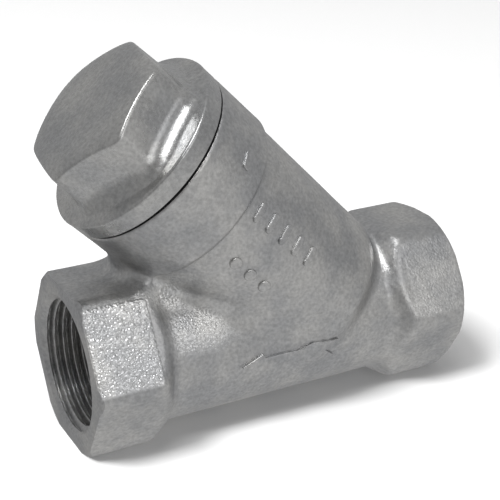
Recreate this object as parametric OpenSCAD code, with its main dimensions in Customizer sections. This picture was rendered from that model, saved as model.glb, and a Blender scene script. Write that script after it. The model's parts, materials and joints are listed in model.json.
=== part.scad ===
// Y strainer: a screwed, cast body with a slanted branch, a hexagon cap and a pull-out screen basket.
// Millimetres. +X is the inlet end of the run, -X the outlet end, -Y the side with the flow arrow, +Z up.
// The origin is on the run's axis, midway between the two end faces.
// The branch leaves the run's axis at branch_x and climbs towards -X at branch_angle from vertical.
// Distances called s run along the branch axis from the point where it crosses the run's axis.

/* [Run] */
// End face to end face
run_length = 80; // [78:1:84]
// Hexagon ends, across flats
hex_af = 31.8; // [31:0.1:33]
// Radius of the cylinder that trims the hexagon's corners
hex_corner_r = 17.8; // [17.2:0.1:18.2]
// Radius of the turned edge at each end face
face_edge_r = 17.0; // [16.2:0.1:17.1]
// Length of the full hexagon at each end
hex_len = 12.8; // [12:0.1:14]
// Length of the sloping shoulder behind each hexagon
shoulder_len = 3.4; // [3:0.1:4]
// Outside radius of the tube between the hexagons
tube_r = 14.65; // [14.2:0.05:15]
// Radius of the flow passage in the run
passage_r = 10.8; // [10:0.1:11.2]

/* [Pipe threads] */
// Minor radius of the 3/4 inch pipe thread, 14 threads an inch
thread_minor_r = 12.06; // [11.9:0.01:12.2]
// Radius of the chamfer at the mouth
mouth_r = 13.45; // [13.2:0.05:13.8]
// Depth of the threaded hole
thread_depth = 16; // [14:0.5:16.5]

/* [Branch] */
// Where the branch axis crosses the run's axis
branch_x = 16.25; // [16:0.05:16.5]
// Angle between the branch axis and vertical
branch_angle = 45; // [44.5:0.5:45.5]
// Start of the branch barrel along its axis
barrel_s = 4.2; // [3.8:0.1:4.5]
// Barrel radius at its start
barrel_r1 = 17.15; // [17:0.05:17.3]
// Barrel radius below the boss
barrel_r2 = 17.65; // [17.4:0.05:17.8]
// Edge round at the barrel's lower end
barrel_round = 3; // [2:0.5:3.5]
// Start of the boss that carries the cap's thread
boss_s = 41.6; // [41:0.1:42.5]
// Boss radius
boss_r = 18.4; // [18.2:0.05:18.6]
// Machined end face of the boss
boss_face_s = 54.45; // [54:0.05:54.6]
// Radius of the chamber round the screen
chamber_r = 12.9; // [12.5:0.1:13.2]
// Floor of the chamber, which is the top of the seat web
chamber_s = 6.6; // [6.5:0.1:7.2]

/* [Screen seat] */
// Underside of the web between the inlet passage and the chamber
web_s = 3.0; // [2.8:0.1:3.2]
// Shelf that the screen's lower ring rests on
seat_s = 4.8; // [4.6:0.1:5]
// Radius of the pocket round the screen's lower ring
seat_pocket_r = 10.56; // [10.52:0.01:10.58]
// Radius of the opening through the web
seat_hole_r = 9; // [8.5:0.1:9.3]

/* [Cap] */
// Minor radius of the cap thread in the boss, M30 x 1.5
cap_bore_r = 14.19; // [14.1:0.01:14.3]
// Depth of the cap thread below the boss face
cap_bore_depth = 11; // [10.5:0.1:12]
// Radius of the cap's screwed plug, taken below its thread
plug_r = 14.05; // [13.9:0.01:14.08]
// Length of the plug below the collar
plug_len = 9.6; // [9:0.1:10]
// Underside of the cap's collar, screwed home
collar_s = 54.9; // [54.85:0.05:55]
// Collar radius
collar_r = 18.5; // [18.2:0.05:18.7]
// Collar height
collar_h = 5.4; // [5:0.1:5.8]
// Round on the collar's upper edge
collar_round = 3; // [2:0.1:3.4]
// Hexagon head, across flats
cap_af = 26.5; // [26:0.1:27]
// Radius of the cylinder that trims the head's corners
cap_corner_r = 14.9; // [14.6:0.05:15]
// Height of the head above the collar
head_h = 8.9; // [8:0.1:10]
// Turn of the head about the branch axis as it stands tightened
cap_turn = 21.7; // [0:0.1:60]
// Radius of the pocket that holds the screen's upper ring
cap_pocket_r = 10.56; // [10.52:0.01:10.58]
// Floor of that pocket
cap_pocket_s = 52.6; // [52.2:0.1:53]

/* [Gasket] */
// Inner radius of the gasket ring
gasket_r1 = 15.15; // [15.1:0.05:15.5]
// Outer radius of the gasket ring
gasket_r2 = 17.2; // [16.8:0.05:17.4]
// Depth of the groove for it under the collar
groove_depth = 0.6; // [0.4:0.1:0.8]

/* [Screen] */
// Outside radius of the perforated sheet tube
screen_r = 10; // [9.9:0.05:10]
// Sheet thickness
sheet_t = 0.5; // [0.4:0.1:0.6]
// Woven liner thickness
mesh_t = 0.2; // [0.15:0.05:0.3]
// Outside radius of the end rings
ring_r = 10.5; // [10.45:0.01:10.5]
// Height of each end ring
ring_h = 4; // [3:0.5:5]
// Top of the screen, inside the cap's pocket
screen_top_s = 52.3; // [52:0.1:52.4]
// Radius of each perforation
hole_r = 1.15; // [0.9:0.05:1.2]
// Perforations round the tube
holes_round = 14; // [10:1:14]
// Rows of perforations
hole_rows = 10; // [8:1:10]

/* [Flow arrow] */
// Height of the raised arrow above the tube
arrow_h = 0.6; // [0.4:0.1:0.8]

/* [Hidden] */
$fn = 96;
half = run_length / 2;
hex_back = half - hex_len;
shoulder_x = hex_back - shoulder_len;
seat_gap = 0.04;
screen_bottom_s = seat_s + seat_gap;
groove_s = collar_s + groove_depth;
head_s = collar_s + collar_h;
arrow_z = -1.3;
mesh_gap = 0.02;

module on_branch(s = 0) {
    translate([branch_x, 0, 0]) rotate([0, -branch_angle, 0]) translate([0, 0, s]) children();
}

module along_x(x = 0) {
    translate([x, 0, 0]) rotate([0, 90, 0]) children();
}

module ring(r1, r2, h) {
    difference() {
        cylinder(r = r2, h = h);
        translate([0, 0, -1]) cylinder(r = r1, h = h + 2);
    }
}

// Hexagon prism with two flats facing local X, trimmed by a cylinder at its corners.
module trimmed_hexagon(af, corner_r, h) {
    intersection() {
        rotate([0, 0, 30]) cylinder(r = af / sqrt(3), h = h, $fn = 6);
        cylinder(r = corner_r, h = h);
    }
}

// One hexagon end, drawn for the +X side: turned edge at the face, sloping shoulder down to the tube.
module hex_end() {
    edge = hex_corner_r - face_edge_r;
    intersection() {
        along_x(shoulder_x) trimmed_hexagon(hex_af, hex_corner_r, half - shoulder_x);
        along_x(shoulder_x) rotate_extrude() polygon([
            [0, 0], [tube_r - 0.5, 0], [hex_corner_r, shoulder_len],
            [hex_corner_r, half - shoulder_x - edge], [face_edge_r, half - shoulder_x],
            [0, half - shoulder_x]
        ]);
    }
}

// Barrel round the chamber: slightly tapered, with a rounded lower end.
module barrel_profile() {
    union() {
        polygon([
            [0, barrel_s], [barrel_r1 - barrel_round, barrel_s], [barrel_r1 - barrel_round, barrel_s + barrel_round],
            [barrel_r1, barrel_s + barrel_round], [barrel_r2, boss_s + 1], [0, boss_s + 1]
        ]);
        translate([barrel_r1 - barrel_round, barrel_s + barrel_round]) circle(r = barrel_round);
    }
}

// Boss with a small step below and a turned lip at the machined face.
module boss_profile() {
    polygon([
        [0, boss_s], [barrel_r2, boss_s], [boss_r - 0.15, boss_s + 0.9], [boss_r, boss_s + 2],
        [boss_r, boss_face_s - 0.5], [boss_r - 0.5, boss_face_s], [0, boss_face_s]
    ]);
}

// Flow arrow pointing at the outlet: head, shaft and notched tail, raised on the front of the tube.
module flow_arrow() {
    intersection() {
        along_x(-12) cylinder(r = tube_r + arrow_h, h = 24);
        translate([0, -tube_r + 3, arrow_z]) rotate([90, 0, 0]) linear_extrude(5) polygon([
            [-10.5, 0], [-6.2, 1.95], [-5.4, 1.05], [1.3, 1.05], [4.3, 2.4], [9.6, 1.95], [6.9, 0],
            [9.6, -1.95], [4.3, -2.4], [1.3, -1.05], [-5.4, -1.05], [-6.2, -1.95]
        ]);
    }
}

// Threaded hole at the +X end, with its mouth chamfer.
module pipe_socket() {
    along_x(half - thread_depth) cylinder(r = thread_minor_r, h = thread_depth + 1);
    along_x(half) rotate_extrude() polygon([
        [0, thread_minor_r - mouth_r], [thread_minor_r, thread_minor_r - mouth_r], [mouth_r, 0],
        [mouth_r, 1], [0, 1]
    ]);
}

// The run's passage, cut by the slanted web into an inlet side and an outlet side.
module passage() {
    difference() {
        along_x(-half + 8) cylinder(r = passage_r, h = run_length - 16);
        on_branch(web_s) translate([-30, -20, 0]) cube([60, 40, chamber_s - web_s]);
    }
}

// Chamber, seat and cap thread, all on the branch axis.
module branch_hollow() {
    on_branch() {
        translate([0, 0, web_s - 1]) cylinder(r = seat_hole_r, h = 10);
        translate([0, 0, seat_s]) cylinder(r = seat_pocket_r, h = 10);
        translate([0, 0, chamber_s]) cylinder(r = chamber_r, h = boss_face_s - chamber_s);
        translate([0, 0, boss_face_s - cap_bore_depth]) cylinder(r = cap_bore_r, h = cap_bore_depth + 1);
        rotate_extrude() polygon([
            [0, boss_face_s - 0.8], [cap_bore_r, boss_face_s - 0.8], [cap_bore_r + 0.9, boss_face_s + 0.1],
            [0, boss_face_s + 0.1]
        ]);
    }
}

module body() {
    color("silver") difference() {
        union() {
            along_x(-half + 4) cylinder(r = tube_r, h = run_length - 8);
            hex_end();
            mirror([1, 0, 0]) hex_end();
            on_branch() rotate_extrude() barrel_profile();
            on_branch() rotate_extrude() boss_profile();
            flow_arrow();
        }
        passage();
        pipe_socket();
        mirror([1, 0, 0]) pipe_socket();
        branch_hollow();
    }
}

// Collar outline with its rounded upper edge, as a half section.
module collar_profile() {
    union() {
        square([collar_r - collar_round, collar_h]);
        square([collar_r, collar_h - collar_round]);
        intersection() {
            translate([collar_r - collar_round, collar_h - collar_round]) circle(r = collar_round);
            square([collar_r, collar_h]);
        }
    }
}

// Hexagon head: flats meet a 30 degree chamfer that leaves the corners lowest.
module cap_head() {
    rise = (cap_corner_r - 12.2) * tan(30);
    intersection() {
        rotate([0, 0, cap_turn]) rotate([0, 0, 30]) trimmed_hexagon(cap_af, cap_corner_r, head_h);
        rotate_extrude() polygon([
            [0, 0], [cap_corner_r + 1, 0], [cap_corner_r + 1, head_h - rise - 0.577],
            [12.2, head_h], [0, head_h]
        ]);
    }
}

module cap() {
    color("gainsboro") on_branch() difference() {
        union() {
            translate([0, 0, collar_s]) rotate_extrude() collar_profile();
            translate([0, 0, head_s]) cap_head();
            translate([0, 0, collar_s - plug_len]) cylinder(r = plug_r, h = plug_len + 1);
        }
        translate([0, 0, collar_s - 1]) ring(gasket_r1 - 0.1, gasket_r2 + 0.1, 1 + groove_depth);
        translate([0, 0, collar_s - plug_len - 1]) cylinder(r = cap_pocket_r, h = cap_pocket_s - collar_s + plug_len + 1);
    }
}

module cap_gasket() {
    color("dimgray") on_branch(boss_face_s) ring(gasket_r1, gasket_r2, groove_s - boss_face_s);
}

// Rolled sheet with staggered rows of round holes and plain margins under the end rings.
module screen_sheet() {
    span = screen_top_s - screen_bottom_s;
    pitch = (span - 2 * ring_h - 4) / (hole_rows - 1);
    color("lightsteelblue") on_branch(screen_bottom_s) difference() {
        ring(screen_r - sheet_t, screen_r, span);
        for (row = [0 : hole_rows - 1])
            for (k = [0 : holes_round - 1])
                translate([0, 0, ring_h + 2 + row * pitch])
                    rotate([0, 0, (k + (row % 2) / 2) * 360 / holes_round])
                        translate([screen_r - sheet_t - 1, 0, 0]) rotate([0, 90, 0])
                            cylinder(r = hole_r, h = sheet_t + 2);
    }
}

module screen_mesh() {
    r2 = screen_r - sheet_t - mesh_gap;
    color("slategray") on_branch(screen_bottom_s + 0.3)
        ring(r2 - mesh_t, r2, screen_top_s - screen_bottom_s - 0.6);
}

module screen_seat_ring() {
    color("lightgray") on_branch(screen_bottom_s) ring(screen_r + mesh_gap, ring_r, ring_h);
}

module screen_cap_ring() {
    color("lightgray") on_branch(screen_top_s - ring_h) ring(screen_r + mesh_gap, ring_r, ring_h);
}

body();
cap();
cap_gasket();
screen_sheet();
screen_mesh();
screen_seat_ring();
screen_cap_ring();
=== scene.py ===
# %% [markdown]
# # A screwed Y strainer: cast first, machined second
# The real strainer starts as an investment casting: a soft-edged blank with fillets wherever two shapes
# meet. Then a lathe faces its ends, bores it and cuts the threads, and those surfaces come out crisp.
# Modelling can follow the same order. The casting is made as a distance field, because blending two
# shapes with a fillet of a given radius is one line of arithmetic there. The machining is then cut with
# solids of revolution, because a boolean leaves the sharp edge that a lathe leaves.
# Lengths are in millimetres until a mesh is made, and then in metres like the frame. The materials and the
# lamps work in metres too.

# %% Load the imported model
import json
import math
import bpy
import numpy as np
import openvdb
from mathutils import Matrix, Vector


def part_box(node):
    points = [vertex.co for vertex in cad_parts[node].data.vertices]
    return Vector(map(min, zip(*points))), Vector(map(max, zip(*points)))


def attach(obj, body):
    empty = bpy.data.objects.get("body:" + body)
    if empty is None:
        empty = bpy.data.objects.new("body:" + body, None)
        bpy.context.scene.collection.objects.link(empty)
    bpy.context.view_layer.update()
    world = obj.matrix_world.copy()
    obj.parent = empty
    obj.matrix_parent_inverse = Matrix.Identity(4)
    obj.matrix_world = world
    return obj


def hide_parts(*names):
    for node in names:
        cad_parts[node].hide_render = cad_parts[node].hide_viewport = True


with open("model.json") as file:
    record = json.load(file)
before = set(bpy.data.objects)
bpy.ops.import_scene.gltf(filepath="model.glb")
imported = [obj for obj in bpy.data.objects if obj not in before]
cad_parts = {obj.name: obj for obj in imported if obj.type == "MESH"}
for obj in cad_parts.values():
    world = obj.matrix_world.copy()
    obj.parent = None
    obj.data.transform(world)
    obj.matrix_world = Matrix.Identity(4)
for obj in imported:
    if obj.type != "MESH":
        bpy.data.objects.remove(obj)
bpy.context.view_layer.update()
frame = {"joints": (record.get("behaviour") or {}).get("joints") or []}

# %% [markdown]
# ## Where things are
# The frame says where everything belongs. The run lies along X and its length is the body's own box. The
# cap's hinge gives the branch: its axis is the branch's direction, and its place is the joint under the
# cap's collar. Distances called s run up the branch from the point where it crosses the run's axis.

# %% The run and the branch
body_low, body_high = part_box("body")
HALF_RUN = body_high.x * 1000
HEX_APOTHEM = -body_low.z * 1000
joints = {j["name"]: j for j in frame["joints"]}
UP_BRANCH = np.array(joints["cap_turn"]["axis"], float)
UP_BRANCH /= np.linalg.norm(UP_BRANCH)
cap_joint = np.array(joints["cap_turn"]["pos_m"], float) * 1000
S_COLLAR = cap_joint[2] / UP_BRANCH[2]
BRANCH_X = cap_joint[0] - S_COLLAR * UP_BRANCH[0]
ACROSS_BRANCH = np.array([UP_BRANCH[2], 0.0, -UP_BRANCH[0]])
print("half run", round(HALF_RUN, 2), "flats at", round(HEX_APOTHEM, 2))
print("branch crosses at x", round(BRANCH_X, 2), "collar at s", round(S_COLLAR, 2))

# %% Matrices that lay a lathe's axis (local Z) along the run or up the branch
def axis_matrix(origin, along, side):
    along = np.array(along, float)
    side = np.array(side, float)
    third = np.cross(along, side)
    rows = [[side[i], third[i], along[i], origin[i] / 1000] for i in range(3)]
    return Matrix(rows + [[0, 0, 0, 1]])


ON_BRANCH = axis_matrix((BRANCH_X, 0, 0), UP_BRANCH, ACROSS_BRANCH)
ON_INLET = axis_matrix((0, 0, 0), (1, 0, 0), (0, 0, -1))
ON_OUTLET = axis_matrix((0, 0, 0), (-1, 0, 0), (0, 0, 1))

# %% [markdown]
# ## Making a mesh from arrays
# Every piece here is computed as an array of points and faces. Writing those arrays in one call is far
# quicker than adding points one by one, so one helper does it for all of them.

# %% One helper for meshes, one for joining a mesh to its CAD body
def make_mesh(name, points_mm, faces, matrix=None):
    mesh = bpy.data.meshes.new(name)
    points = np.asarray(points_mm, np.float64) / 1000
    faces = np.asarray(faces, np.int32)
    mesh.vertices.add(len(points))
    mesh.vertices.foreach_set("co", points.astype(np.float32).ravel())
    mesh.loops.add(faces.size)
    mesh.loops.foreach_set("vertex_index", faces.ravel())
    mesh.polygons.add(len(faces))
    mesh.polygons.foreach_set("loop_start", np.arange(0, faces.size, faces.shape[1], dtype=np.int32))
    mesh.update(calc_edges=True)
    mesh.validate()
    if matrix is not None:
        mesh.transform(matrix)
    piece = bpy.data.objects.new(name, mesh)
    bpy.context.scene.collection.objects.link(piece)
    return piece


def fit_piece(piece, body, slot, *nodes):
    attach(piece, body)
    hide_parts(*nodes)
    faces = len(piece.data.polygons)
    print(piece.name, "rides on", body, "with", faces, "faces")


def smooth_by_angle(piece, degrees=32):
    for other in bpy.context.selected_objects:
        other.select_set(False)
    piece.select_set(True)
    bpy.context.view_layer.objects.active = piece
    bpy.ops.object.shade_smooth_by_angle(angle=math.radians(degrees))
    piece.select_set(False)

# %% [markdown]
# ## Distance fields
# A distance field holds, at each point of a grid, how far that point is from the surface: negative
# inside, positive outside. Where two fields meet, the smaller value joins the shapes and the larger value
# keeps what they share. Rounding that choice with a circle gives a true fillet or a true edge round.

# %% Joining, trimming and cutting with a round of a given radius
def join(a, b, radius):
    near = np.maximum(radius - a, 0) ** 2 + np.maximum(radius - b, 0) ** 2
    return np.maximum(np.minimum(a, b), radius) - np.sqrt(near)


def trim(a, b, radius):
    far = np.maximum(a + radius, 0) ** 2 + np.maximum(b + radius, 0) ** 2
    return np.minimum(np.maximum(a, b), -radius) + np.sqrt(far)


def cut(a, b, radius):
    return trim(a, -b, radius)

# %% A hexagon with round corners, two flats facing the second direction
def hexagon(a, b, apothem, corner):
    inner = apothem - corner
    a = np.abs(a)
    b = np.abs(b)
    fold = 2 * np.minimum(-0.8660254 * a + 0.5 * b, 0)
    a = a + 0.8660254 * fold
    b = b - 0.5 * fold
    reach = 0.57735027 * inner
    a = a - np.clip(a, -reach, reach)
    b = b - inner
    return np.hypot(a, b) * np.sign(b) - corner

# %% A grid of points, and a mesh from a field on it
class Grid:
    def __init__(self, low, high, step):
        self.low = np.array(low, np.float32)
        self.step = step
        count = [int(math.ceil((h - l) / step)) + 1 for l, h in zip(low, high)]
        axes = [self.low[i] + step * np.arange(count[i], dtype=np.float32) for i in range(3)]
        self.x = axes[0][:, None, None]
        self.y = axes[1][None, :, None]
        self.z = axes[2][None, None, :]
        print("grid of", count, "points")

    def mesh(self, name, field):
        volume = openvdb.FloatGrid(1.0)
        volume.copyFromArray(np.ascontiguousarray(field, np.float32))
        points, triangles, quads = volume.convertToPolygons(isovalue=0.0, adaptivity=0.0)
        points = self.low + points * self.step
        return make_mesh(name, points, quads[:, ::-1])

# %% [markdown]
# ## The casting
# The outside is five shapes: the run's tube, a hexagon at each end, the branch's barrel and the boss that
# takes the cap. A founder's pattern has a fillet of about 3 mm where barrel and tube meet, a wider one
# where the boss crowds the hexagon below it and a narrower one at the other hexagon. A little slow waviness
# is added to the field, because a casting is never dead flat.

# %% Sizes of the casting
TUBE_R = 14.65
HEX_CORNER_R = 17.8
HEX_BACK_R = 17.9
SHOULDER_X = 23.6
HEX_BACK_X = 27.2
FACING_ALLOWANCE = 0.9
BARREL_S = 4.2
BARREL_LOW_R = 17.15
BARREL_HIGH_R = 17.65
BOSS_S = 41.6
BOSS_R = 18.4
BOSS_FACE_S = S_COLLAR - 0.5
PASSAGE_R = 10.8
CHAMBER_R = 12.9
WEB_S = 3.0
CHAMBER_S = 6.6
CASTING_STEP = 0.25


def branch_coordinates(g):
    along = (g.x - BRANCH_X) * UP_BRANCH[0] + g.z * UP_BRANCH[2]
    across = (g.x - BRANCH_X) * ACROSS_BRANCH[0] + g.z * ACROSS_BRANCH[2]
    return along, np.hypot(across, g.y)

# %% Outside of the casting; the last fillet is wide under the boss and narrow at the far hexagon
def casting_outside(g):
    run_r = np.hypot(g.y, g.z)
    end_x = np.abs(g.x)
    s, branch_r = branch_coordinates(g)
    tube = np.maximum(run_r - TUBE_R, end_x - 34)
    slope = (HEX_BACK_R - TUBE_R + 0.5) / (HEX_BACK_X - SHOULDER_X)
    cone = (run_r - TUBE_R + 0.5 - slope * (end_x - SHOULDER_X)) / math.hypot(1, slope)
    prism = trim(hexagon(g.y, g.z, HEX_APOTHEM, 0.3), hexagon(g.z, g.y, HEX_CORNER_R, 0.3), 0.5)
    ends = trim(prism, cone, 0.8)
    ends = np.maximum(ends, end_x - HALF_RUN - FACING_ALLOWANCE)
    taper = BARREL_LOW_R + (BARREL_HIGH_R - BARREL_LOW_R) * np.clip((s - 7) / 34, 0, 1)
    barrel = trim(branch_r - taper, BARREL_S - s, 4.0)
    barrel = np.maximum(barrel, s - BOSS_S - 3)
    boss = trim(branch_r - BOSS_R, BOSS_S - s, 0.7)
    boss = trim(boss, s - BOSS_FACE_S - 0.2, 0.7)
    run = join(tube, ends, 1.0)
    branch = join(barrel, boss, 0.7)
    fillet = np.interp(g.x, [-31, -25, -18, 16, 27], [5.7, 5.7, 3.2, 3.2, 1.8]).astype(np.float32)
    return join(run, branch, fillet)

# %% Inside of the casting: the run's passage, the slanted web and the chamber
def casting_core(g):
    run_r = np.hypot(g.y, g.z)
    s, branch_r = branch_coordinates(g)
    passage = run_r - PASSAGE_R
    inlet_side = trim(passage, s - WEB_S, 1.0)
    outlet_side = trim(passage, CHAMBER_S - s, 1.0)
    chamber = trim(branch_r - CHAMBER_R, CHAMBER_S - s, 1.0)
    return np.minimum(join(outlet_side, chamber, 1.0), inlet_side)

# %% Slow waviness of a cast skin
def waviness(g):
    a = np.sin(0.31 * g.x + 0.8) * np.sin(0.27 * g.y + 0.3) * np.sin(0.33 * g.z + 1.1)
    b = np.sin(0.83 * g.x + 2.1) * np.sin(0.71 * g.y + 1.9) * np.sin(0.77 * g.z + 0.4)
    return 0.05 * a + 0.03 * b

# %% The blank, as it leaves the mould
def cast_blank():
    g = Grid((-41.5, -19.5, -17.5), (41.5, 19.5, 54.5), CASTING_STEP)
    field = casting_outside(g) + waviness(g)
    field = np.maximum(field, -casting_core(g))
    blank = g.mesh("body_casting", field)
    print("blank has", len(blank.data.polygons), "faces")
    return blank


blank = cast_blank()

# %% [markdown]
# ## The raised arrow and foundry marks
# The arrow stands half a millimetre proud of the tube and its edges are crisper than the casting's grid
# can hold. It gets its own small, fine grid, as a loose insert would in a founder's wax, and is then
# joined to the blank. Plain bars and pips on the branch stand where a foundry puts its own marks.

# %% Distance to a flat outline, negative inside
def outline_distance(a, b, corners):
    corners = np.array(corners, np.float32)
    best = np.full(np.broadcast(a, b).shape, 1e9, np.float32)
    inside = np.zeros(best.shape, bool)
    for start, end in zip(corners, np.roll(corners, -1, axis=0)):
        edge = end - start
        da = a - start[0]
        db = b - start[1]
        t = np.clip((da * edge[0] + db * edge[1]) / (edge @ edge), 0, 1)
        best = np.minimum(best, (da - t * edge[0]) ** 2 + (db - t * edge[1]) ** 2)
        crosses = (start[1] > b) != (end[1] > b)
        rise = edge[1] if edge[1] else 1e-9
        inside ^= crosses & (da < edge[0] * db / rise)
    return np.where(inside, -np.sqrt(best), np.sqrt(best))

# %% The arrow: head, shaft and notched tail, pointing at the outlet
ARROW_Z = -1.3
ARROW_RISE = 0.55
ARROW_SUNK = 0.6
ARROW_HALF = [(-10.5, 0), (-6.1, 2.0), (-5.5, 1.0), (1.2, 1.05), (4.3, 2.45), (9.7, 2.1), (7.0, 0)]
FINE_STEP = 0.08


def raised_arrow():
    g = Grid((-12, -18, -5), (11, -12, 2.6), FINE_STEP)
    lower = [(x, -z) for x, z in ARROW_HALF[-2:0:-1]]
    outline = outline_distance(g.x, g.z - ARROW_Z, ARROW_HALF + lower)
    skin = casting_outside(g) + waviness(g)
    solid = trim(outline, skin - ARROW_RISE, 0.15)
    return g.mesh("raised_arrow", np.maximum(solid, -ARROW_SUNK - skin))

# %% Plain raised marks on the branch: a row of bars, a row of round pips and one small casting nick.
# A stroke has two ends, each (distance s in mm, degrees round the branch), and half a width in mm
MARK_R = 17.3
MARK_RISE = 0.4
MARK_SUNK = 0.5
BAR_ENDS = (9.5, 18.5)
PIP_ANGLE = -18.0
STROKES = [((s, BAR_ENDS[0]), (s, BAR_ENDS[1]), 0.7) for s in (23.4, 27.2, 31.0, 34.8, 38.4)]
STROKES += [((s, PIP_ANGLE), (s + 0.01, PIP_ANGLE), 1.2) for s in (27.2, 31.3, 35.4)]
STROKES += [((47.0, 36.0), (46.7, 28.0), 0.3), ((46.7, 28.0), (45.8, 27.3), 0.3)]


def raised_marks():
    g = Grid((-18, -19.8, 6), (8, -12.5, 44), FINE_STEP * 1.25)
    s, branch_r = branch_coordinates(g)
    across = (g.x - BRANCH_X) * ACROSS_BRANCH[0] + g.z * ACROSS_BRANCH[2]
    arc = MARK_R * np.arctan2(across, -g.y)
    outline = np.full(branch_r.shape, 9.0, np.float32)
    for start, end, half_width in STROKES:
        a = np.array([start[0], MARK_R * math.radians(start[1])])
        b = np.array([end[0], MARK_R * math.radians(end[1])]) - a
        t = np.clip(((s - a[0]) * b[0] + (arc - a[1]) * b[1]) / (b @ b), 0, 1)
        outline = np.minimum(outline, np.hypot(s - a[0] - t * b[0], arc - a[1] - t * b[1]) - half_width)
    skin = casting_outside(g) + waviness(g)
    solid = trim(outline, skin - MARK_RISE, 0.25)
    return g.mesh("raised_marks", np.maximum(solid, -MARK_SUNK - skin))


print("arrow corners:", 2 * len(ARROW_HALF) - 2, " strokes:", len(STROKES))

# %% [markdown]
# ## Machining
# A lathe makes solids of revolution, so each cut is one profile spun round an axis and taken away with a
# boolean. A thread is the same thing with a radius that rises and falls along a helix: the cutter is a
# round bar whose surface is pushed in and out, with no seam, because the helix meets itself after a turn.

# %% A closed solid from rings of points round local Z, its two ends closed by fans to the axis
def close_rings(name, rings, matrix):
    count, around = rings.shape[:2]
    a = np.arange(around)
    b = (a + 1) % around
    step = np.arange(count - 1)[:, None] * around
    low_a, low_b = step + a, step + b
    high_a, high_b = low_a + around, low_b + around
    sides = [np.stack([low_a, low_b, high_b], -1), np.stack([low_a, high_b, high_a], -1)]
    first = count * around
    last = first - around
    ends = [np.stack([b, a, np.full(around, first)], 1)]
    ends.append(np.stack([last + a, last + b, np.full(around, first + 1)], 1))
    middles = [[0, 0, rings[0, 0, 2]], [0, 0, rings[-1, 0, 2]]]
    points = np.concatenate([rings.reshape(-1, 3), middles])
    faces = np.concatenate([side.reshape(-1, 3) for side in sides] + ends)
    return make_mesh(name, points, faces, matrix)

# %% A turned solid: a profile of (radius, distance) pairs, listed from low to high
def turned(name, profile, matrix, around=192):
    angle = np.linspace(0, 2 * math.pi, around, endpoint=False)
    radius = np.array([r for r, z in profile])[:, None]
    height = np.array([z for r, z in profile])[:, None] + 0 * angle
    rings = np.stack([radius * np.cos(angle), radius * np.sin(angle), height], -1)
    return close_rings(name, rings, matrix)

# %% A turned ring: a closed profile spun round local Z
def ring_solid(name, profile, matrix, around=240):
    angle = np.linspace(0, 2 * math.pi, around, endpoint=False)
    radius = np.array([r for r, z in profile])[:, None]
    height = np.array([z for r, z in profile])[:, None] + 0 * angle
    points = np.stack([radius * np.cos(angle), radius * np.sin(angle), height], -1).reshape(-1, 3)
    a = np.arange(around)
    b = (a + 1) % around
    k = np.arange(len(profile))[:, None] * around
    n = ((np.arange(len(profile)) + 1) % len(profile))[:, None] * around
    faces = np.stack([k + a, k + b, n + b, n + a], -1).reshape(-1, 4)
    return make_mesh(name, points, faces, matrix)

# %% A threaded bar: its radius follows a helix, and shape(z, radius) trims it at the ends
THREAD_FLAT = 0.12


def thread_rise(phase):
    wave = np.abs(2 * (phase % 1.0) - 1)
    ramp = np.clip((wave - THREAD_FLAT) / (1 - 2 * THREAD_FLAT), 0, 1)
    return 0.5 * ramp + 0.5 * ramp * ramp * (3 - 2 * ramp)


def threaded_bar(name, low_r, high_r, pitch, span, matrix, shape, around=160):
    steps = int((span[1] - span[0]) / pitch * (24))
    z = np.linspace(span[0], span[1], steps + 1)[:, None]
    angle = np.linspace(0, 2 * math.pi, around, endpoint=False)[None, :]
    z = z + 0 * angle
    radius = low_r + (high_r - low_r) * thread_rise(z / pitch - angle / (2 * math.pi))
    radius = shape(z, radius)
    return close_rings(name, np.stack([radius * np.cos(angle), radius * np.sin(angle), z], -1), matrix)

# %% Booleans: the result of a modifier, kept as the first piece's own mesh
def combine(piece, others, operation):
    for other in others:
        boolean = piece.modifiers.new(operation.lower(), "BOOLEAN")
        boolean.operation = operation
        boolean.object = other
        boolean.solver = "MANIFOLD"
    graph = bpy.context.evaluated_depsgraph_get()
    mesh = bpy.data.meshes.new_from_object(piece.evaluated_get(graph))
    piece.modifiers.clear()
    piece.data = mesh
    for other in others:
        bpy.data.objects.remove(other)
    print(piece.name, operation.lower(), len(others), "solids, now", len(mesh.polygons), "faces")
    return piece

# %% [markdown]
# ## Turning the body
# The lathe faces both ends and bevels the hexagons' corners, cuts a pipe thread 16 mm deep into each end
# with a chamfered mouth, faces the boss, threads it for the cap and sinks the screen's seat into the web.
# Each cutter carries its own material, so the cut surface takes a different finish from the cast skin.

# %% Thread and seat sizes
PIPE_PITCH = 1.814
PIPE_CREST_R = 12.06
PIPE_ROOT_R = 13.22
MOUTH_R = 13.45
THREAD_DEPTH = 16.0
OUTLET_EDGE_R = 17.0
INLET_EDGE_R = 16.1
CAP_PITCH = 1.5
CAP_BORE_R = 14.19
CAP_ROOT_R = 15.0
CAP_BORE_S = S_COLLAR - 11.45
SEAT_R = 10.56
SEAT_S = 4.8
WEB_HOLE_R = 9.0

# %% Cutters
def face_cutter(name, matrix, edge_r):
    profile = [(edge_r, HALF_RUN), (edge_r + 7, HALF_RUN - 7), (edge_r + 7, HALF_RUN + 4)]
    return turned(name, profile, matrix)


def pipe_thread_cutter(name, matrix):
    inner = HALF_RUN - THREAD_DEPTH

    def shape(z, radius):
        run_out = np.clip((z - inner) / 2.0, 0, 1)
        radius = PIPE_CREST_R + (radius - PIPE_CREST_R) * run_out
        radius = np.where(z < inner, PIPE_CREST_R - 1.2 * (inner - z), radius)
        return np.maximum(radius, MOUTH_R - (HALF_RUN - z))

    span = (inner - 1.0, HALF_RUN + 1.0)
    return threaded_bar(name, PIPE_CREST_R, PIPE_ROOT_R, PIPE_PITCH, span, matrix, shape)


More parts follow.
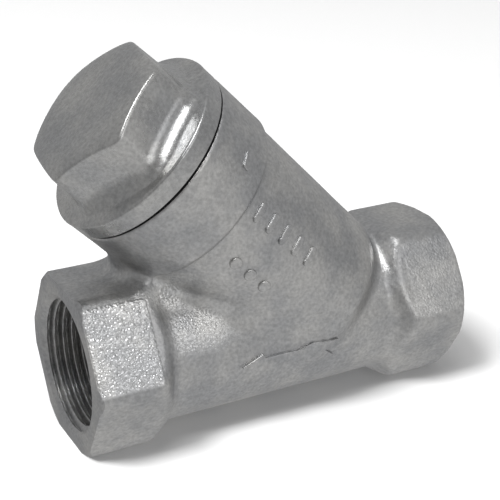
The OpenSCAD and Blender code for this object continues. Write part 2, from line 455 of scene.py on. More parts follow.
def cap_thread_cutter():
    def shape(z, radius):
        run_out = np.clip((z - CAP_BORE_S) / 1.5, 0, 1)
        radius = CAP_BORE_R + (radius - CAP_BORE_R) * run_out
        return np.maximum(radius, CAP_ROOT_R + 0.3 - (BOSS_FACE_S - z))

    span = (CAP_BORE_S, BOSS_FACE_S + 1.0)
    return threaded_bar("cap_thread_cutter", CAP_BORE_R, CAP_ROOT_R, CAP_PITCH, span, ON_BRANCH, shape)


def boss_cutter():
    profile = [(BOSS_R + 3, BOSS_FACE_S), (BOSS_R + 3, BOSS_FACE_S + 3)]
    return turned("boss_cutter", profile, ON_BRANCH)


def seat_cutter():
    profile = [(WEB_HOLE_R, 1.0), (WEB_HOLE_R, SEAT_S), (SEAT_R, SEAT_S), (SEAT_R, 9.0)]
    return turned("seat_cutter", profile, ON_BRANCH)

# %% [markdown]
# ## Finishes
# Everything here is stainless steel, so what tells one surface from another is its grain. The cast skin
# is a ceramic mould's texture, softened by blasting: blotches of slightly different grey, a fine sparkle
# and small pits; a few coarser patches are also painted lighter, a painted highlight. A turned face has
# concentric grooves finer than a hair. A pipe thread is bright on its crests and its colour is painted
# nearly black between them, a painted shade in the roots. Every pattern is computed from the object's own
# coordinates in metres, so its grain has a true size.

# %% Small helpers for building node materials
def new_material(name):
    material = bpy.data.materials.new(name)
    material.use_nodes = True
    nodes = material.node_tree.nodes
    nodes.clear()
    output = nodes.new("ShaderNodeOutputMaterial")
    shader = nodes.new("ShaderNodeBsdfPrincipled")
    material.node_tree.links.new(shader.outputs["BSDF"], output.inputs["Surface"])
    return material, shader


def node(material, kind, **settings):
    made = material.node_tree.nodes.new(kind)
    for key, value in settings.items():
        setattr(made, key, value)
    return made


def link(material, source, target):
    material.node_tree.links.new(source, target)


def noise(material, scale, detail=2.0, roughness=0.5, where=None):
    made = node(material, "ShaderNodeTexNoise")
    made.inputs["Scale"].default_value = scale
    made.inputs["Detail"].default_value = detail
    made.inputs["Roughness"].default_value = roughness
    if where is None:
        where = node(material, "ShaderNodeTexCoord").outputs["Object"]
    link(material, where, made.inputs["Vector"])
    return made.outputs["Fac"]


def spread(material, source, low, high, to_low, to_high, smooth=False):
    made = node(material, "ShaderNodeMapRange", interpolation_type="SMOOTHSTEP" if smooth else "LINEAR")
    made.inputs["From Min"].default_value = low
    made.inputs["From Max"].default_value = high
    made.inputs["To Min"].default_value = to_low
    made.inputs["To Max"].default_value = to_high
    link(material, source, made.inputs["Value"])
    return made.outputs["Result"]


def maths(material, operation, a, b):
    made = node(material, "ShaderNodeMath", operation=operation)
    for socket, value in zip(made.inputs, (a, b)):
        if isinstance(value, (int, float)):
            socket.default_value = value
        else:
            link(material, value, socket)
    return made.outputs["Value"]


def blend(material, factor, a, b, mode="MIX"):
    made = node(material, "ShaderNodeMix", data_type="RGBA", blend_type=mode)
    if isinstance(factor, (int, float)):
        made.inputs["Factor"].default_value = factor
    else:
        link(material, factor, made.inputs["Factor"])
    for name, value in (("A", a), ("B", b)):
        socket = [s for s in made.inputs if s.name == name and s.type == "RGBA"][0]
        if isinstance(value, tuple):
            socket.default_value = (*value, 1.0)
        else:
            link(material, value, socket)
    return [s for s in made.outputs if s.type == "RGBA"][0]


def bump(material, height, distance, strength=1.0, under=None):
    made = node(material, "ShaderNodeBump")
    made.inputs["Strength"].default_value = strength
    made.inputs["Distance"].default_value = distance
    link(material, height, made.inputs["Height"])
    if under is not None:
        link(material, under, made.inputs["Normal"])
    return made.outputs["Normal"]

# %% A soft-edged box where the cast skin is coarser and its colour is painted lighter: 1 inside, 0 outside
def patch(material, centre, tilt, half, soft):
    place = node(material, "ShaderNodeMapping", vector_type="TEXTURE")
    place.inputs["Location"].default_value = centre
    place.inputs["Rotation"].default_value = (math.radians(tilt), 0, 0)
    link(material, node(material, "ShaderNodeTexCoord").outputs["Object"], place.inputs["Vector"])
    size = node(material, "ShaderNodeVectorMath", operation="ABSOLUTE")
    link(material, place.outputs["Vector"], size.inputs[0])
    apart = node(material, "ShaderNodeSeparateXYZ")
    link(material, size.outputs["Vector"], apart.inputs["Vector"])
    inside = None
    for axis, reach in zip("XYZ", half):
        part = spread(material, apart.outputs[axis], reach - soft, reach + soft, 1, 0, True)
        inside = part if inside is None else maths(material, "MULTIPLY", inside, part)
    return inside

# %% Cast stainless steel, blasted; grain is the depth of its pebbling in metres
PEBBLE_SCALE = 2100
PEBBLE_DEPTH = 0.00024
# How much lighter the colour is painted inside a coarse patch: a painted highlight
PATCH_PAINTED_LIGHT_GAIN = 1.65


def as_grey(material, value):
    made = node(material, "ShaderNodeCombineColor")
    for socket in list(made.inputs)[:3]:
        link(material, value, socket)
    return made.outputs["Color"]


def cast_steel(name, dark, light, grain, base_roughness, patches=()):
    material, shader = new_material(name)
    blotches = spread(material, noise(material, 95, 4, 0.6), 0.33, 0.68, 0, 1, True)
    colour = blend(material, blotches, dark, light)
    speckle = spread(material, noise(material, 1500, 2, 0.6), 0.3, 0.7, 0.82, 1.12)
    colour = blend(material, 1.0, colour, as_grey(material, speckle), "MULTIPLY")
    link(material, colour, shader.inputs["Base Color"])
    shader.inputs["Metallic"].default_value = 1.0
    smooth, dull = base_roughness - 0.07, base_roughness + 0.08
    mottled = spread(material, noise(material, 240, 3, 0.6), 0.3, 0.7, smooth, dull)
    link(material, mottled, shader.inputs["Roughness"])
    coarse = noise(material, 1300, 2, 0.55)
    fine = noise(material, 3800, 2, 0.6)
    soft = noise(material, 380, 2, 0.5)
    normal = bump(material, soft, 1.8 * grain, 0.5)
    normal = bump(material, coarse, grain, 0.6, normal)
    normal = bump(material, fine, 0.55 * grain, 0.7, normal)
    covered = None
    for centre, tilt, half, soft_edge, amount in patches:
        part = maths(material, "MULTIPLY", patch(material, centre, tilt, half, soft_edge), amount)
        covered = part if covered is None else maths(material, "MAXIMUM", covered, part)
    if covered is not None:
        pebbles = node(material, "ShaderNodeTexVoronoi", feature="SMOOTH_F1")
        pebbles.inputs["Scale"].default_value = PEBBLE_SCALE
        pebbles.inputs["Smoothness"].default_value = 0.6
        link(material, node(material, "ShaderNodeTexCoord").outputs["Object"], pebbles.inputs["Vector"])
        height = maths(material, "MULTIPLY", pebbles.outputs["Distance"], covered)
        normal = bump(material, height, PEBBLE_DEPTH, 1.0, normal)
        # Inside a patch the colour is painted lighter too, a painted highlight; the pebbles above are the
        # coarser grain
        painted_light_lift = spread(material, covered, 0, 1, 1.0, PATCH_PAINTED_LIGHT_GAIN)
        colour = blend(material, 1.0, colour, as_grey(material, painted_light_lift), "MULTIPLY")
        link(material, colour, shader.inputs["Base Color"])
    link(material, normal, shader.inputs["Normal"])
    return material

# %% Turned steel: concentric tool marks round an axis given as a rotation of local Z. A thread's painted
# root shade is (crest radius, root radius, distance of the mouth, how much light is left at the root)
def radius_from(material, origin, rotation):
    place = node(material, "ShaderNodeMapping", vector_type="TEXTURE")
    place.inputs["Location"].default_value = origin
    place.inputs["Rotation"].default_value = rotation
    link(material, node(material, "ShaderNodeTexCoord").outputs["Object"], place.inputs["Vector"])
    apart = node(material, "ShaderNodeSeparateXYZ")
    link(material, place.outputs["Vector"], apart.inputs["Vector"])
    x_squared = maths(material, "MULTIPLY", apart.outputs["X"], apart.outputs["X"])
    y_squared = maths(material, "MULTIPLY", apart.outputs["Y"], apart.outputs["Y"])
    radius = maths(material, "SQRT", maths(material, "ADD", x_squared, y_squared), 0.0)
    return radius, apart.outputs["Z"]


def turned_steel(name, colour, base_roughness, origin, rotation, painted_root_shade=None):
    material, shader = new_material(name)
    radius, along = radius_from(material, origin, rotation)
    across = maths(material, "ADD", radius, along)
    ring = node(material, "ShaderNodeTexNoise", noise_dimensions="1D")
    ring.inputs["Scale"].default_value = 9000
    ring.inputs["Detail"].default_value = 2
    link(material, across, ring.inputs["W"])
    shade = spread(material, noise(material, 300, 3, 0.6), 0.3, 0.7, 0.86, 1.08)
    tinted = blend(material, 1.0, as_grey(material, shade), colour, "MULTIPLY")
    if painted_root_shade is not None:
        crest, root, mouth, darkest = painted_root_shade
        # The roots are painted darker than the crests inside the mouth: a painted shade in the thread's
        # recesses
        deep = spread(material, radius, crest, root, 0, 1, True)
        inside = spread(material, maths(material, "ABSOLUTE", along, 0.0), mouth - 0.0004, mouth, 1, 0)
        root_shade_factor = spread(material, maths(material, "MULTIPLY", deep, inside), 0, 1, 1.0, darkest)
        tinted = blend(material, 1.0, tinted, as_grey(material, root_shade_factor), "MULTIPLY")
    link(material, tinted, shader.inputs["Base Color"])
    shader.inputs["Metallic"].default_value = 1.0
    smooth, dull = base_roughness - 0.06, base_roughness + 0.08
    rough = spread(material, noise(material, 700, 2, 0.5), 0.3, 0.7, smooth, dull)
    link(material, rough, shader.inputs["Roughness"])
    normal = bump(material, ring.outputs["Fac"], 0.000006, 0.5)
    link(material, normal, shader.inputs["Normal"])
    return material

# %% The finishes of the body and the cap. A coarse patch, also painted lighter as a painted highlight,
# is (centre in m, tilt about X in degrees, half sizes in m, softness of its edge in m, amount)
RUN_ROTATION = (0, math.pi / 2, 0)
BRANCH_ROTATION = (0, -math.atan2(-UP_BRANCH[0], UP_BRANCH[2]), 0)
BRANCH_ORIGIN = (BRANCH_X / 1000, 0, 0)
NEAR_FLAT = ((-0.0336, -0.01377, 0.00795), -30, (0.0061, 0.0010, 0.0080), 0.0003, 1.0)
FAR_FLAT = ((0.0338, -0.01377, 0.00795), -30, (0.0058, 0.0010, 0.0080), 0.0005, 0.2)
TUBE_SIDE = ((-0.0185, -0.0135, 0.0075), -30, (0.0050, 0.0040, 0.0035), 0.0025, 0.8)
BOSS_FOOT = ((-0.0240, -0.0100, 0.0150), -30, (0.0040, 0.0050, 0.0025), 0.0020, 0.7)
COARSE_PAINTED_LIGHT_PATCHES = (NEAR_FLAT, FAR_FLAT, TUBE_SIDE, BOSS_FOOT)
DARK_CAST = (0.475, 0.479, 0.487)
LIGHT_CAST = (0.635, 0.629, 0.615)
body_skin = cast_steel("cast_body_skin", DARK_CAST, LIGHT_CAST, 0.00009, 0.38, COARSE_PAINTED_LIGHT_PATCHES)
cap_skin = cast_steel("cast_cap_skin", (0.475, 0.479, 0.483), (0.60, 0.596, 0.583), 0.000035, 0.27)
collar_skin = cast_steel("turned_collar_skin", (0.53, 0.53, 0.533), (0.65, 0.65, 0.65), 0.00004, 0.34)
run_turned = turned_steel("turned_run", (0.60, 0.597, 0.587), 0.33, (0, 0, 0), RUN_ROTATION)
branch_turned = turned_steel("turned_branch", (0.62, 0.62, 0.615), 0.30, BRANCH_ORIGIN, BRANCH_ROTATION)
# Painted shade in the run's thread roots
THREAD_PAINTED_ROOT_SHADE = (0.01212, 0.0126, 0.0388, 0.10)
RUN_THREAD = (0.50, 0.475, 0.50)
BRANCH_THREAD = (0.50, 0.495, 0.495)
run_thread = turned_steel("thread_run", RUN_THREAD, 0.14, (0, 0, 0), RUN_ROTATION, THREAD_PAINTED_ROOT_SHADE)
branch_thread = turned_steel("thread_branch", BRANCH_THREAD, 0.22, BRANCH_ORIGIN, BRANCH_ROTATION)

# %% The body: blank, arrow and marks joined, then cut
def make_body(blank):
    def coated(piece, material):
        piece.data.materials.append(material)
        return piece

    coated(blank, body_skin)
    added = [coated(raised_arrow(), body_skin), coated(raised_marks(), body_skin)]
    combine(blank, added, "UNION")
    cutters = []
    for end, matrix, edge_r in (("inlet", ON_INLET, INLET_EDGE_R), ("outlet", ON_OUTLET, OUTLET_EDGE_R)):
        cutters.append(coated(face_cutter(end + "_face_cutter", matrix, edge_r), run_turned))
        cutters.append(coated(pipe_thread_cutter(end + "_thread_cutter", matrix), run_thread))
    cutters.append(coated(boss_cutter(), branch_turned))
    cutters.append(coated(cap_thread_cutter(), branch_thread))
    cutters.append(coated(seat_cutter(), branch_turned))
    combine(blank, cutters, "DIFFERENCE")
    blank.name = "strainer_body_casting"
    smooth_by_angle(blank)
    fit_piece(blank, "strainer_body", "cast_body", "body")


make_body(blank)

# %% [markdown]
# ## The cap
# The cap is cast too: a round collar with a hexagon head on it, a fillet at the foot, and a crown that
# falls away to the corners. The collar's top is a shallow cone that ends in a crisp rim. The collar's side,
# the plug, its thread and the gasket's seat are turned. The cap is made in coordinates of its own, with
# local Z up the branch and read as the distance s.

# %% Cap sizes
COLLAR_R = 18.42
COLLAR_CAST_R = 18.47
COLLAR_LINE_S = S_COLLAR + 3.3
COLLAR_RIM_S = S_COLLAR + 3.75
COLLAR_SLOPE = 0.27
COLLAR_EDGE_R = 0.4
HEAD_TOP_S = S_COLLAR + 14.3
HEAD_APOTHEM = 13.17
HEAD_BEVEL_R = 14.9
HEAD_DRAFT = 0.05
HEAD_FOOT_R = 2.6
CROWN_REACH = 19.0
CROWN_R = 8.5
HEAD_TURN = math.radians(21.7)
PLUG_ROOT_R = 14.05
PLUG_CREST_R = 14.85
PLUG_LENGTH = 9.6
GROOVE_OUT_R = 17.3
GROOVE_DEPTH = 0.6
POCKET_R = 10.56
POCKET_TOP_S = S_COLLAR - 2.3


def cap_blank():
    g = Grid((-19.5, -19.5, S_COLLAR - 1), (19.5, 19.5, HEAD_TOP_S + 1), 0.18)
    s = g.z
    radius = np.hypot(g.x, g.y)
    a = g.x * math.cos(HEAD_TURN) + g.y * math.sin(HEAD_TURN)
    b = g.y * math.cos(HEAD_TURN) - g.x * math.sin(HEAD_TURN)
    cone = s - COLLAR_RIM_S + COLLAR_SLOPE * (radius - COLLAR_CAST_R)
    cone = cone / math.hypot(1, COLLAR_SLOPE)
    collar = trim(cone, radius - COLLAR_CAST_R, COLLAR_EDGE_R)
    draft = HEAD_DRAFT * (s - HEAD_TOP_S)
    flats = hexagon(a, b, HEAD_APOTHEM, 0.2) + draft
    corners = hexagon(b, a, HEAD_BEVEL_R, 0.2) + draft
    head = trim(flats, corners, 0.5)
    crown = trim(radius - CROWN_REACH, s - HEAD_TOP_S, CROWN_R)
    head = trim(head, crown, 0.3)
    head = np.maximum(head, S_COLLAR + 1 - s)
    solid = join(collar, head, HEAD_FOOT_R)
    wave = 0.04 * np.sin(0.41 * g.x + 0.5) * np.sin(0.37 * g.y + 1.2) * np.sin(0.45 * g.z)
    solid = np.maximum(solid + wave, S_COLLAR - s)
    blank = g.mesh("cap_casting", solid)
    blank.data.transform(ON_BRANCH)
    return blank


def collar_cutter():
    profile = [(COLLAR_R + 3, S_COLLAR - 1.0), (COLLAR_R + 3, COLLAR_LINE_S)]
    profile += [(COLLAR_R + 0.05, COLLAR_LINE_S), (COLLAR_R, COLLAR_LINE_S - 0.05)]
    profile += [(COLLAR_R, S_COLLAR + 0.15), (COLLAR_R - 0.15, S_COLLAR), (COLLAR_R - 0.15, S_COLLAR - 1.0)]
    return ring_solid("collar_cutter", profile, ON_BRANCH, 288)

# %% The plug with its thread, the gasket groove and the pocket for the screen
def plug_bar():
    low = S_COLLAR - PLUG_LENGTH

    def shape(z, radius):
        run_out = np.clip((S_COLLAR - 1.2 - z) / 1.2, 0, 1)
        radius = PLUG_ROOT_R + (radius - PLUG_ROOT_R) * run_out
        return np.minimum(radius, PLUG_ROOT_R - 0.5 + (z - low))

    span = (low, S_COLLAR + 0.9)
    return threaded_bar("plug", PLUG_ROOT_R, PLUG_CREST_R, CAP_PITCH, span, ON_BRANCH, shape)


def cap_face_cutter():
    profile = [(GROOVE_OUT_R, S_COLLAR - 0.5), (GROOVE_OUT_R, S_COLLAR + GROOVE_DEPTH)]
    return turned("groove_cutter", profile, ON_BRANCH)


def pocket_cutter():
    low = S_COLLAR - PLUG_LENGTH
    profile = [(POCKET_R + 1.4, low - 1), (POCKET_R, low + 0.4), (POCKET_R, POCKET_TOP_S)]
    return turned("pocket_cutter", profile, ON_BRANCH)


def make_cap():
    cap = cap_blank()
    cap.data.materials.append(cap_skin)
    cutters = [cap_face_cutter(), collar_cutter()]
    for cutter, material in zip(cutters, (branch_turned, collar_skin)):
        cutter.data.materials.append(material)
    combine(cap, cutters, "DIFFERENCE")
    plug = plug_bar()
    plug.data.materials.append(branch_thread)
    combine(cap, [plug], "UNION")
    pocket = pocket_cutter()
    pocket.data.materials.append(branch_turned)
    combine(cap, [pocket], "DIFFERENCE")
    cap.name = "cap_with_hexagon_head"
    smooth_by_angle(cap)
    fit_piece(cap, "cap", "cast_cap", "cap")


make_cap()

# %% [markdown]
# ## The gasket
# A flat ring of compressed fibre and graphite. Its edges are slightly crushed, so they are rounded.

# %% Gasket
def rounded_section(inner_r, outer_r, low, high, edge, steps=4):
    corners = [(outer_r - edge, low + edge, -90), (outer_r - edge, high - edge, 0)]
    corners += [(inner_r + edge, high - edge, 90), (inner_r + edge, low + edge, 180)]
    profile = []
    for r, z, start in corners:
        for k in range(steps + 1):
            angle = math.radians(start + 90 * k / steps)
            profile.append((r + edge * math.cos(angle), z + edge * math.sin(angle)))
    return profile


def gasket_fibre():
    material, shader = new_material("gasket_fibre")
    shade = spread(material, noise(material, 1800, 3, 0.7), 0.3, 0.7, 0.012, 0.03)
    link(material, as_grey(material, shade), shader.inputs["Base Color"])
    rough = spread(material, noise(material, 900, 2, 0.5), 0.3, 0.7, 0.6, 0.8)
    link(material, rough, shader.inputs["Roughness"])
    normal = bump(material, noise(material, 4000, 2, 0.6), 0.00003, 0.6)
    link(material, normal, shader.inputs["Normal"])
    return material


def make_gasket():
    low, high = S_COLLAR - 0.45, S_COLLAR + 0.6
    piece = ring_solid("flat_ring_gasket", rounded_section(15.15, 17.2, low, high, 0.16), ON_BRANCH)
    piece.data.materials.append(gasket_fibre())
    smooth_by_angle(piece)
    fit_piece(piece, "gasket", "gasket", "cap_gasket")


make_gasket()

# %% [markdown]
# ## The screen
# The basket is a perforated sheet rolled into a tube and seam-welded, with a fine woven liner inside and a
# solid ring spot-welded on at each end. Water enters it from below and leaves through its wall.

# %% Screen sizes
SHEET_IN_R = 9.5
SHEET_OUT_R = 10.0
SCREEN_LOW_S = 4.84
SCREEN_HIGH_S = 52.3
HOLE_R = 0.8
HOLES_ROUND = 24
ROW_STEP = 2.25
WIRE_R = 0.05
WIRE_STEP = 0.9
LINER_R = 9.38
END_RING_R = 10.5
END_RING_HIGH = 4.0


def hole_pins():
    around = 16
    angle = np.linspace(0, 2 * math.pi, around, endpoint=False)
    low, high = SCREEN_LOW_S + END_RING_HIGH + 1.6, SCREEN_HIGH_S - END_RING_HIGH - 1.6
    rows = int((high - low) / ROW_STEP) + 1
    points, faces = [], []
    a = np.arange(around)
    b = (a + 1) % around
    for row in range(rows):
        for k in range(HOLES_ROUND):
            turn = 2 * math.pi * (k + 0.5 * (row % 2)) / HOLES_ROUND
            out = np.array([math.cos(turn), math.sin(turn), 0])
            side = np.array([-math.sin(turn), math.cos(turn), 0])
            circle = HOLE_R * (np.cos(angle)[:, None] * side + np.sin(angle)[:, None] * np.array([0, 0, 1]))
            centre = np.array([0, 0, low + row * ROW_STEP])
            base = len(points) * (2 * around + 2)
            inner, outer = centre + out * (SHEET_IN_R - 0.8), centre + out * (SHEET_OUT_R + 0.8)
            points.append(np.concatenate([circle + inner, circle + outer, [inner, outer]]))
            sides = [np.stack([a, b, around + b], 1), np.stack([a, around + b, around + a], 1)]
            sides.append(np.stack([b, a, np.full(around, 2 * around)], 1))
            sides.append(np.stack([around + a, around + b, np.full(around, 2 * around + 1)], 1))
            faces.append(np.concatenate(sides) + base)
    print("screen holes:", len(points))
    return make_mesh("hole_pins", np.concatenate(points), np.concatenate(faces), ON_BRANCH)


def sheet_steel():
    material, shader = new_material("screen_sheet_steel")
    shade = spread(material, noise(material, 160, 3, 0.6), 0.3, 0.7, 0.5, 0.62)
    link(material, as_grey(material, shade), shader.inputs["Base Color"])
    shader.inputs["Metallic"].default_value = 1.0
    rough = spread(material, noise(material, 500, 3, 0.6), 0.3, 0.7, 0.2, 0.34)
    link(material, rough, shader.inputs["Roughness"])
    normal = bump(material, noise(material, 2600, 2, 0.5), 0.000006, 0.4)
    link(material, normal, shader.inputs["Normal"])
    return material


def make_sheet():
    profile = [(SHEET_OUT_R, SCREEN_LOW_S), (SHEET_OUT_R, SCREEN_HIGH_S)]
    profile += [(SHEET_IN_R, SCREEN_HIGH_S), (SHEET_IN_R, SCREEN_LOW_S)]
    sheet = ring_solid("screen_perforated_sheet", profile, ON_BRANCH)
    steel = sheet_steel()
    sheet.data.materials.append(steel)
    pins = hole_pins()
    pins.data.materials.append(steel)
    combine(sheet, [pins], "DIFFERENCE")
    smooth_by_angle(sheet)
    fit_piece(sheet, "basket", "screen_steel", "screen_sheet")


make_sheet()

# %% The woven liner: wires up the branch and hoops round it, each passing over and under the others
def tube_along(centres, outward, radius, closed, sides=5):
    ahead = np.roll(centres, -1, axis=1) - centres
    if not closed:
        ahead[:, -1] = ahead[:, -2]
    ahead /= np.linalg.norm(ahead, axis=-1, keepdims=True)
    third = np.cross(ahead, outward)
    angle = np.linspace(0, 2 * math.pi, sides, endpoint=False)
    ring = np.cos(angle)[:, None] * outward[:, :, None] + np.sin(angle)[:, None] * third[:, :, None]
    points = centres[:, :, None] + radius * ring
    wires, count = centres.shape[:2]
    last = count if closed else count - 1
    w = np.arange(wires)[:, None, None] * count * sides
    k = np.arange(last)[None, :, None]
    a = np.arange(sides)[None, None, :]
    b = (a + 1) % sides
    n = (k + 1) % count
    k, n = k * sides, n * sides
    faces = np.stack([w + k + a, w + k + b, w + n + b, w + n + a], -1).reshape(-1, 4)
    return points.reshape(-1, 3), faces


def make_liner():
    uprights = int(2 * math.pi * LINER_R / WIRE_STEP / 2) * 2
    hoops = int((SCREEN_HIGH_S - SCREEN_LOW_S - 1) / WIRE_STEP / 2) * 2
    step = (SCREEN_HIGH_S - SCREEN_LOW_S - 1) / hoops
    per_step = 4
    k = np.arange(hoops * per_step + 1)
    turn = 2 * math.pi * np.arange(uprights)[:, None] / uprights
    height = SCREEN_LOW_S + 0.5 + k * step / per_step + 0 * turn
    radius = LINER_R + WIRE_R * np.cos(math.pi * (k / per_step - 0.5 + np.arange(uprights)[:, None]))
    outward = np.stack([np.cos(turn) + 0 * k, np.sin(turn) + 0 * k, 0 * turn + 0 * k], -1)
    centres = np.stack([radius * np.cos(turn), radius * np.sin(turn), height], -1)
    up_points, up_faces = tube_along(centres, outward, WIRE_R, False)
    k = np.arange(uprights * per_step)
    turn = 2 * math.pi * k / (uprights * per_step) + 0 * np.arange(hoops)[:, None]
    height = SCREEN_LOW_S + 0.5 + (np.arange(hoops)[:, None] + 0.5) * step + 0 * k
    radius = LINER_R - WIRE_R * np.cos(math.pi * (k / per_step + np.arange(hoops)[:, None]))
    outward = np.stack([np.cos(turn), np.sin(turn), 0 * turn], -1)
    centres = np.stack([radius * np.cos(turn), radius * np.sin(turn), height], -1)
    hoop_points, hoop_faces = tube_along(centres, outward, WIRE_R, True)
    points = np.concatenate([up_points, hoop_points])
    faces = np.concatenate([up_faces, hoop_faces + len(up_points)])
    liner = make_mesh("screen_woven_liner", points, faces, ON_BRANCH)
    wire, shader = new_material("liner_wire")
    shade = spread(wire, noise(wire, 700, 2, 0.5), 0.3, 0.7, 0.42, 0.58)
    link(wire, as_grey(wire, shade), shader.inputs["Base Color"])
    shader.inputs["Metallic"].default_value = 1.0
    link(wire, spread(wire, noise(wire, 900, 2, 0.5), 0.3, 0.7, 0.25, 0.4), shader.inputs["Roughness"])
    liner.data.materials.append(wire)
    smooth_by_angle(liner, 80)
    fit_piece(liner, "basket", "screen_mesh", "screen_mesh")


make_liner()

# %% The end rings, with a row of spot-weld dimples
DIMPLES = 12
DIMPLE_BALL_R = 1.2
DIMPLE_DEPTH = 0.14


def dimple_cutters(middle_s):
    angles = np.linspace(-90, 90, 13)
    profile = [(DIMPLE_BALL_R * math.cos(math.radians(v)), DIMPLE_BALL_R * math.sin(math.radians(v)))
               for v in angles[1:-1]]
    out = END_RING_R + DIMPLE_BALL_R - DIMPLE_DEPTH
    cutters = []
    for k in range(DIMPLES):
        turn = 2 * math.pi * k / DIMPLES
        centre = Vector((out * math.cos(turn), out * math.sin(turn), middle_s)) / 1000
        cutters.append(turned("dimple_cutter", profile, ON_BRANCH @ Matrix.Translation(centre), 32))
    return cutters


def make_end_ring(name, low_s, node_name):
    section = rounded_section(SHEET_OUT_R + 0.02, END_RING_R, low_s, low_s + END_RING_HIGH, 0.2)
    ring = ring_solid(name, section, ON_BRANCH, 288)
    steel = turned_steel(name + "_steel", (0.55, 0.55, 0.54), 0.26, BRANCH_ORIGIN, BRANCH_ROTATION)
    ring.data.materials.append(steel)
    cutters = dimple_cutters(low_s + END_RING_HIGH / 2)
    for cutter in cutters:
        cutter.data.materials.append(steel)
    combine(ring, cutters, "DIFFERENCE")
    smooth_by_angle(ring)
    fit_piece(ring, "basket", "screen_steel", node_name)


make_end_ring("screen_seat_end_ring", SCREEN_LOW_S, "screen_seat_ring")
make_end_ring("screen_cap_end_ring", SCREEN_HIGH_S - END_RING_HIGH, "screen_cap_ring")

# %% [markdown]
# ## Floor, light and camera
# Steel shows mostly what it reflects, so the lamps and the room are chosen for their reflections. A pale
# sweep of paper runs under the strainer and up behind it, so there is no horizon. A softbox overhead draws
# the bright lines on the fillets and rims, a small one in front lights the near hexagon, and a third lamp
# only makes the shadow on the paper. The paper itself is hidden from reflections: the room's even light,
# stronger from below and in front, stands for it and can be set by direction.

# %% The sweep
FLOOR_Z = body_low.z


def make_sweep():
    radius, front, back, wide = 0.6, -2.0, 1.2, 3.0
    line = [(front, 0.0), (back, 0.0)]
    for k in range(1, 17):
        angle = math.radians(90 * k / 16)
        line.append((back + radius * math.sin(angle), radius - radius * math.cos(angle)))
    line.append((back + radius, 3.0))
    points = [(x * 1000, y * 1000, z * 1000 + FLOOR_Z * 1000) for y, z in line for x in (-wide, wide)]
    faces = [(2 * k, 2 * k + 1, 2 * k + 3, 2 * k + 2) for k in range(len(line) - 1)]
    sweep = make_mesh("paper_sweep", points, faces)
    smooth_by_angle(sweep, 60)
    paper, shader = new_material("paper")
    shader.inputs["Base Color"].default_value = (0.66, 0.66, 0.66, 1)
    shader.inputs["Roughness"].default_value = 0.9
    shader.inputs["Emission Color"].default_value = (1, 1, 1, 1)
    shader.inputs["Emission Strength"].default_value = 0.05
    sweep.data.materials.append(paper)
    sweep.visible_glossy = False


make_sweep()

# %% Lamps
def add_lamp(name, target_mm, direction, distance, width, height, radiance, in_reflections=True):
    light = bpy.data.lights.new(name, "AREA")
    light.shape = "RECTANGLE"
    light.size = width
    light.size_y = height
    light.energy = radiance * math.pi * width * height
    lamp = bpy.data.objects.new(name, light)
    bpy.context.scene.collection.objects.link(lamp)
    aim = Vector(direction).normalized()
    side = Vector((1, 0, 0)) - aim * aim.x
    side.normalize()
    up = aim.cross(side)
    place = Vector(target_mm) / 1000 + aim * distance
    lamp.matrix_world = Matrix([[side[i], up[i], aim[i], place[i]] for i in range(3)] + [[0, 0, 0, 1]])
    lamp.visible_glossy = in_reflections
    print(name, "is", distance, "m away")


NEAR_HEX = (-33, -14, 8)
add_lamp("overhead_softbox", (0, 0, 20), (-0.20, -0.30, 0.93), distance=0.9, width=0.34, height=0.28,
         radiance=7.5)
add_lamp("front_softbox", NEAR_HEX, (0.33, -0.80, 0.49), distance=0.32, width=0.16, height=0.16,
         radiance=1.05)
add_lamp("floor_shadow_lamp", (0, 0, 0), (-0.50, -0.15, 0.85), distance=2.0, width=0.60, height=0.60,
         radiance=47.0, in_reflections=False)

# %% The room: even white, changed toward a few directions.
# A change is (direction, where it starts, where it is full, the factor there); the places are cosines
ROOM_LIGHT = 0.395
LEFT_DIM = ((-0.97, -0.25, 0.05), 0.35, 0.95, 0.85)
BACK_LIFT = ((0.49, 0.41, 0.77), 0.2, 0.9, 1.15)
FRONT_DIM = ((-0.30, -0.75, 0.58), 0.7, 1.0, 0.7)
BELOW_LIFT = ((0.10, -0.62, -0.78), 0.2, 0.95, 1.5)


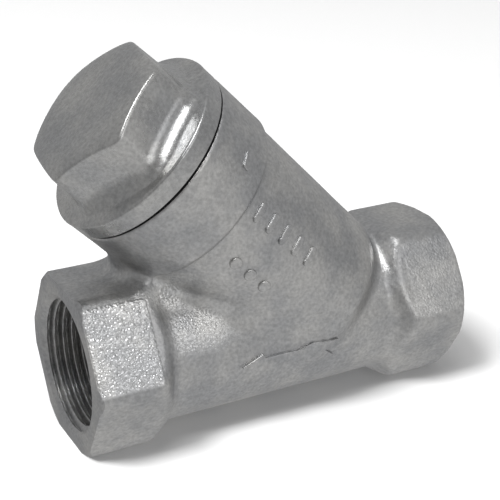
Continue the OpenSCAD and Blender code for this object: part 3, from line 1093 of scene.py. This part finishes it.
def level_toward(tree, direction, change):
    toward, start, full, factor = change
    dot = tree.nodes.new("ShaderNodeVectorMath")
    dot.operation = "DOT_PRODUCT"
    dot.inputs[1].default_value = toward
    tree.links.new(direction, dot.inputs[0])
    shade = tree.nodes.new("ShaderNodeMapRange")
    shade.interpolation_type = "SMOOTHSTEP"
    for name, value in zip(("From Min", "From Max", "To Min", "To Max"), (start, full, 1.0, factor)):
        shade.inputs[name].default_value = value
    tree.links.new(dot.outputs["Value"], shade.inputs["Value"])
    return shade.outputs["Result"]


def multiplied(tree, a, b):
    product = tree.nodes.new("ShaderNodeMath")
    product.operation = "MULTIPLY"
    tree.links.new(a, product.inputs[0])
    if isinstance(b, float):
        product.inputs[1].default_value = b
    else:
        tree.links.new(b, product.inputs[1])
    return product.outputs["Value"]


def make_room(changes):
    world = bpy.data.worlds.new("room")
    bpy.context.scene.world = world
    world.use_nodes = True
    tree = world.node_tree
    background = tree.nodes["Background"]
    direction = tree.nodes.new("ShaderNodeTexCoord").outputs["Generated"]
    level = level_toward(tree, direction, changes[0])
    for change in changes[1:]:
        level = multiplied(tree, level, level_toward(tree, direction, change))
    tree.links.new(multiplied(tree, level, ROOM_LIGHT), background.inputs["Strength"])
    background.inputs["Color"].default_value = (1, 1, 1, 1)
    print("room light", ROOM_LIGHT, "with", len(changes), "changes by direction")


make_room((LEFT_DIM, BACK_LIFT, FRONT_DIM, BELOW_LIFT))
bpy.context.scene.view_settings.view_transform = "Standard"

# %% Camera
def add_camera(azimuth, elevation, roll, distance, slide, lens):
    az, el, turn = (math.radians(v) for v in (azimuth, elevation, roll))
    back = Vector((math.sin(az) * math.cos(el), -math.cos(az) * math.cos(el), math.sin(el)))
    right = Vector((0, 0, 1)).cross(back).normalized()
    up = back.cross(right)
    x = right * math.cos(turn) + up * math.sin(turn)
    y = up * math.cos(turn) - right * math.sin(turn)
    data = bpy.data.cameras.new("camera")
    data.sensor_width = 36
    data.lens = lens
    data.clip_start = 0.01
    camera = bpy.data.objects.new("camera", data)
    bpy.context.scene.collection.objects.link(camera)
    place = (x * slide[0] + y * slide[1] + back * distance) / 1000
    camera.matrix_world = Matrix([[x[i], y[i], back[i], place[i]] for i in range(3)] + [[0, 0, 0, 1]])
    bpy.context.scene.camera = camera
    return camera


camera = add_camera(-28.1, 22.54, -0.22, 248.1, (-0.81, 14.01), 89.10)
print("camera at, mm:", [round(v * 1000, 1) for v in camera.location])
